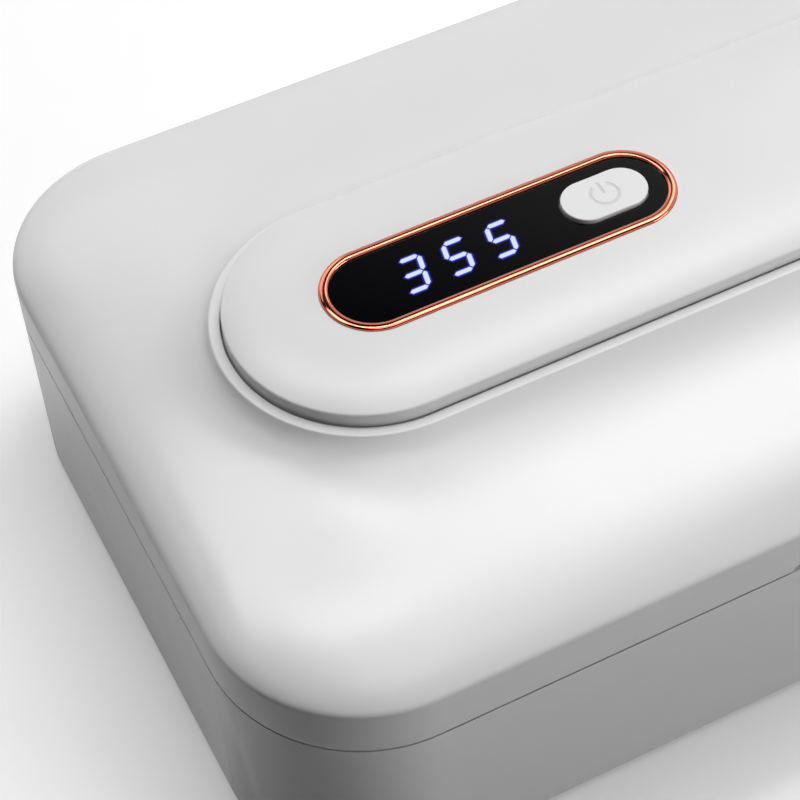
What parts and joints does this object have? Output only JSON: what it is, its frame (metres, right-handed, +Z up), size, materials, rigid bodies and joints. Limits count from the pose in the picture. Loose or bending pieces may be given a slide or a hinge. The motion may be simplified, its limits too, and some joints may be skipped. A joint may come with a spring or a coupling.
{
  "type": "uv sterilizer box",
  "caption": "Rounded lidded box that disinfects small items with ultraviolet light; hinged lid with a raised control pod, digit display and power button.",
  "frame": {"origin": "centre of the whole footprint, hinge barrels included, on the plane that the rubber feet stand on", "axes": "+X along the length, to the right as the user faces the front; +Y to the hinges at the back; +Z up"},
  "size_m": [0.22, 0.1416, 0.0667],
  "materials": {
    "white_casing": "satin white moulded ABS",
    "white_pod": "fine satin white moulded ABS",
    "white_key": "smooth satin white key cap",
    "mirror_plated": "bright vacuum-plated moulded ABS",
    "polished_sheet": "polished aluminium sheet",
    "rose_gold": "polished rose-gold plating",
    "dark_window": "polished black acrylic",
    "lit_bars": "glowing cool blue-white",
    "dark_bars": "unlit, almost black",
    "display_block": "matt dark grey moulding",
    "rubber_grey": "matt grey rubber",
    "silicone": "soft pale silicone",
    "foam": "black foam tape",
    "plated_steel": "zinc-plated steel",
    "ground_steel": "ground stainless steel",
    "nickel": "bright nickel plating",
    "tin_plate": "tin-plated stamped steel",
    "clear_plate": "clear quartz glass",
    "lamp_board_white": "aluminium core under a white mask",
    "lamp_chip": "ceramic chip with a clear lens",
    "green_board": "green circuit board laminate",
    "connector_ivory": "ivory nylon",
    "chip_black": "matt black epoxy",
    "plunger_grey": "dark grey nylon",
    "ferrite": "dark grey pressed ferrite",
    "contact_glass": "pale green sealed glass",
    "cell_wrap": "silver laminate pouch",
    "lead_pvc": "soft PVC insulation",
    "cable_grey": "grey PVC sheath"
  },
  "bodies": {
    "base": {"base_shell": "white_casing", "chamber_liner": "mirror_plated", "liner_screws": "plated_steel", "rubber_feet": "rubber_grey", "base_magnets": "nickel", "interlock_magnet": "nickel", "lid_seal": "silicone", "hinge_pins": "ground_steel"},
    "lid": {"lid_shell": "white_casing", "lid_inner_cover": "white_casing", "pod_cover": "white_pod", "lid_reflector": "polished_sheet", "bezel_ring": "rose_gold", "display_window": "dark_window", "lit_segments": "lit_bars", "dark_segments": "dark_bars", "segment_display": "display_block", "battery_tape": "foam", "inner_cover_screws": "plated_steel", "lamp_screws": "plated_steel", "pod_screws": "plated_steel", "display_board_screws": "plated_steel", "main_board_screws": "plated_steel", "lid_magnets": "nickel", "usb_socket": "tin_plate", "lamp_plates": "clear_plate", "lamp_boards": "lamp_board_white", "lamp_chips": "lamp_chip", "display_board": "green_board", "main_board": "green_board", "board_connectors": "connector_ivory", "board_chips": "chip_black", "buzzer": "chip_black", "button_switch": "chip_black", "boost_inductor": "ferrite", "reed_switch": "contact_glass", "battery_cell": "cell_wrap", "battery_leads": "lead_pvc", "lamp_leads": "lead_pvc", "display_cable": "cable_grey"},
    "button": {"power_button": "white_key", "switch_plunger": "plunger_grey"}
  },
  "joints": [
    {"name": "lid_hinge", "type": "hinge", "parent": "base", "child": "lid", "pos_m": [0, 0.068, 0.0396], "axis": [-1, 0, 0], "range_deg": [0, 100]},
    {"name": "power_button_press", "type": "slide", "parent": "lid", "child": "button", "axis": [0, 0, -1], "range_m": [0, 0.0005], "stiffness_N_per_m": 1000, "springref_m": -0.0005}
  ]
}
